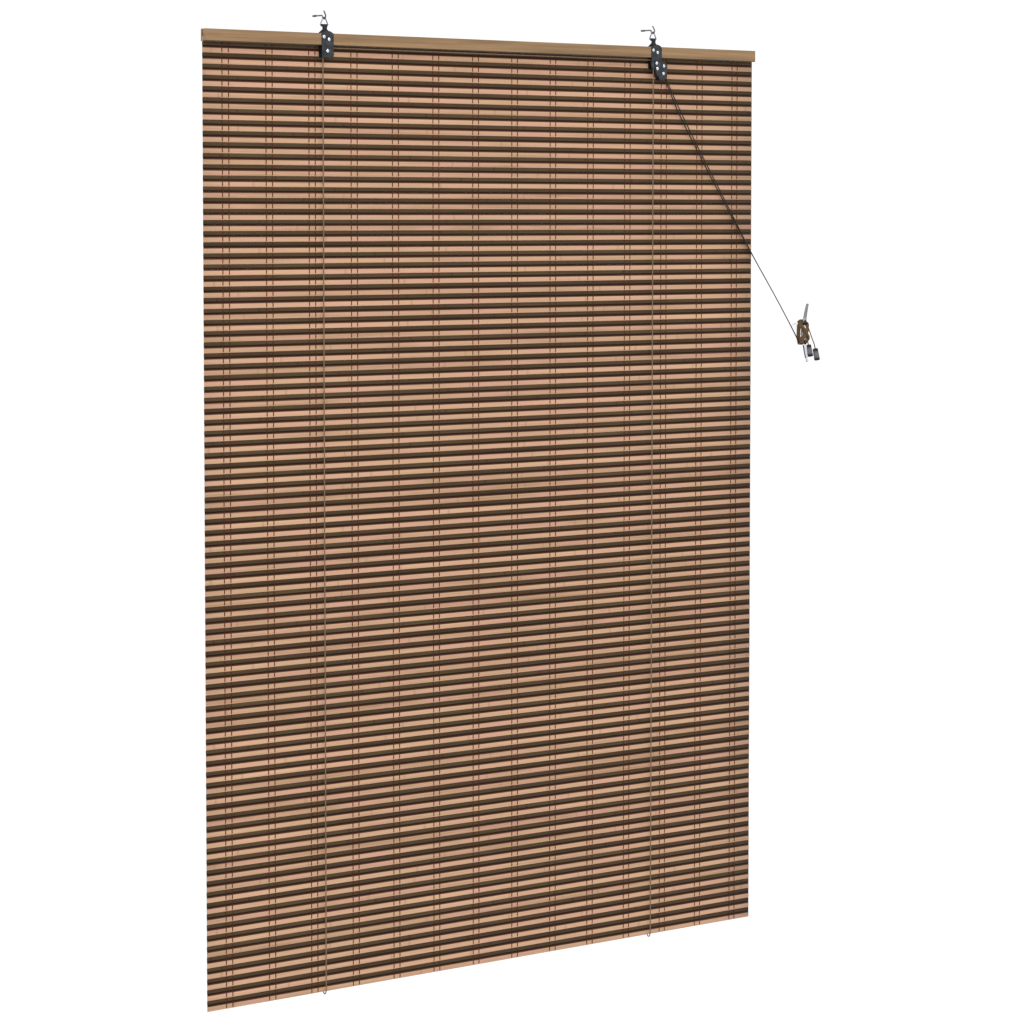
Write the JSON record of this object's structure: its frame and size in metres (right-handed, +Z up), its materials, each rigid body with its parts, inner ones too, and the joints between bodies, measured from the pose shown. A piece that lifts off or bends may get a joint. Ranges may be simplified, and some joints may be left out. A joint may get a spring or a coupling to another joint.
{
  "type": "bamboo roll up blind",
  "caption": "Roll up window blind of alternating dark and light bamboo slats under a wooden headrail, hung on screw hooks, with pulleys, a cord lock, pull cords and a wall cleat.",
  "frame": {"origin": "on the wall plane, midway between the axes of the two hook screws", "axes": "+X to the right along the headrail as seen from the room, +Y into the wall, +Z up"},
  "size_m": [1.37, 0.049, 1.6428],
  "materials": {
    "headrail_wood": "satin varnish",
    "light_bamboo": "matt",
    "dark_bamboo": "matt",
    "warp_thread": "matt",
    "dark_steel": "semi gloss",
    "bright_steel": "bright zinc",
    "cord": "matt braid",
    "clear_plastic": "clear gloss",
    "black_plastic": "satin"
  },
  "bodies": {
    "wall_side": {"left_screw_hook": "bright_steel", "right_screw_hook": "bright_steel", "left_ring": "bright_steel", "right_ring": "bright_steel", "wall_cleat": "clear_plastic", "cord_winding": "cord", "left_cord_tail": "cord", "right_cord_tail": "cord", "left_tassel": "black_plastic", "right_tassel": "black_plastic"},
    "blind": {"headrail": "headrail_wood", "clamp_batten": "headrail_wood", "rail_nails": "bright_steel", "light_slats": "light_bamboo", "dark_slats": "dark_bamboo", "warp_threads": "warp_thread", "left_hanger_plate": "dark_steel", "left_front_cheek": "dark_steel", "left_rail_rivets": "bright_steel", "left_rivet_tubes": "dark_steel", "left_axle": "bright_steel", "left_axle_tube": "dark_steel", "right_hanger_plate": "dark_steel", "right_front_cheek": "dark_steel", "right_rail_rivets": "bright_steel", "right_rivet_tubes": "dark_steel", "right_axle": "bright_steel", "lock_frame": "dark_steel", "lock_tie_rivet": "bright_steel", "lock_tie_tube": "dark_steel", "lock_roller_pin": "bright_steel", "lock_dog_pin": "bright_steel", "left_lift_cord": "cord", "right_lift_cord": "cord", "left_pull_cord": "cord", "right_pull_cord": "cord", "cord_staples": "bright_steel"},
    "left_wheel": {"left_sheave": "bright_steel"},
    "right_back_wheel": {"right_sheave_back": "bright_steel"},
    "right_front_wheel": {"right_sheave_front": "bright_steel"},
    "roller": {"lock_roller": "bright_steel"},
    "dog": {"lock_dog": "dark_steel"}
  },
  "joints": [
    {"name": "blind_swing", "type": "hinge", "parent": "wall_side", "child": "blind", "pos_m": [0, -0.022, -0.01655], "axis": [-1, 0, 0], "range_deg": [0, 6]},
    {"name": "left_sheave_spin", "type": "hinge", "parent": "blind", "child": "left_wheel", "pos_m": [-0.36, -0.0261, -0.05895], "axis": [0, -1, 0], "continuous": true},
    {"name": "right_sheave_back_spin", "type": "hinge", "parent": "blind", "child": "right_back_wheel", "pos_m": [0.36, -0.0261, -0.05895], "axis": [0, -1, 0], "continuous": true},
    {"name": "right_sheave_front_spin", "type": "hinge", "parent": "blind", "child": "right_front_wheel", "pos_m": [0.36, -0.02975, -0.05895], "axis": [0, -1, 0], "continuous": true},
    {"name": "lock_roller_spin", "type": "hinge", "parent": "blind", "child": "roller", "pos_m": [0.376, -0.0284, -0.07695], "axis": [0, -1, 0], "continuous": true},
    {"name": "lock_dog_pivot", "type": "hinge", "parent": "blind", "child": "dog", "pos_m": [0.377, -0.0284, -0.06345], "axis": [0, -1, 0], "range_deg": [0, 28]}
  ],
  "couplings": [
    {"joint": "left_sheave_spin", "follows": "right_sheave_back_spin", "ratio": 1}
  ]
}
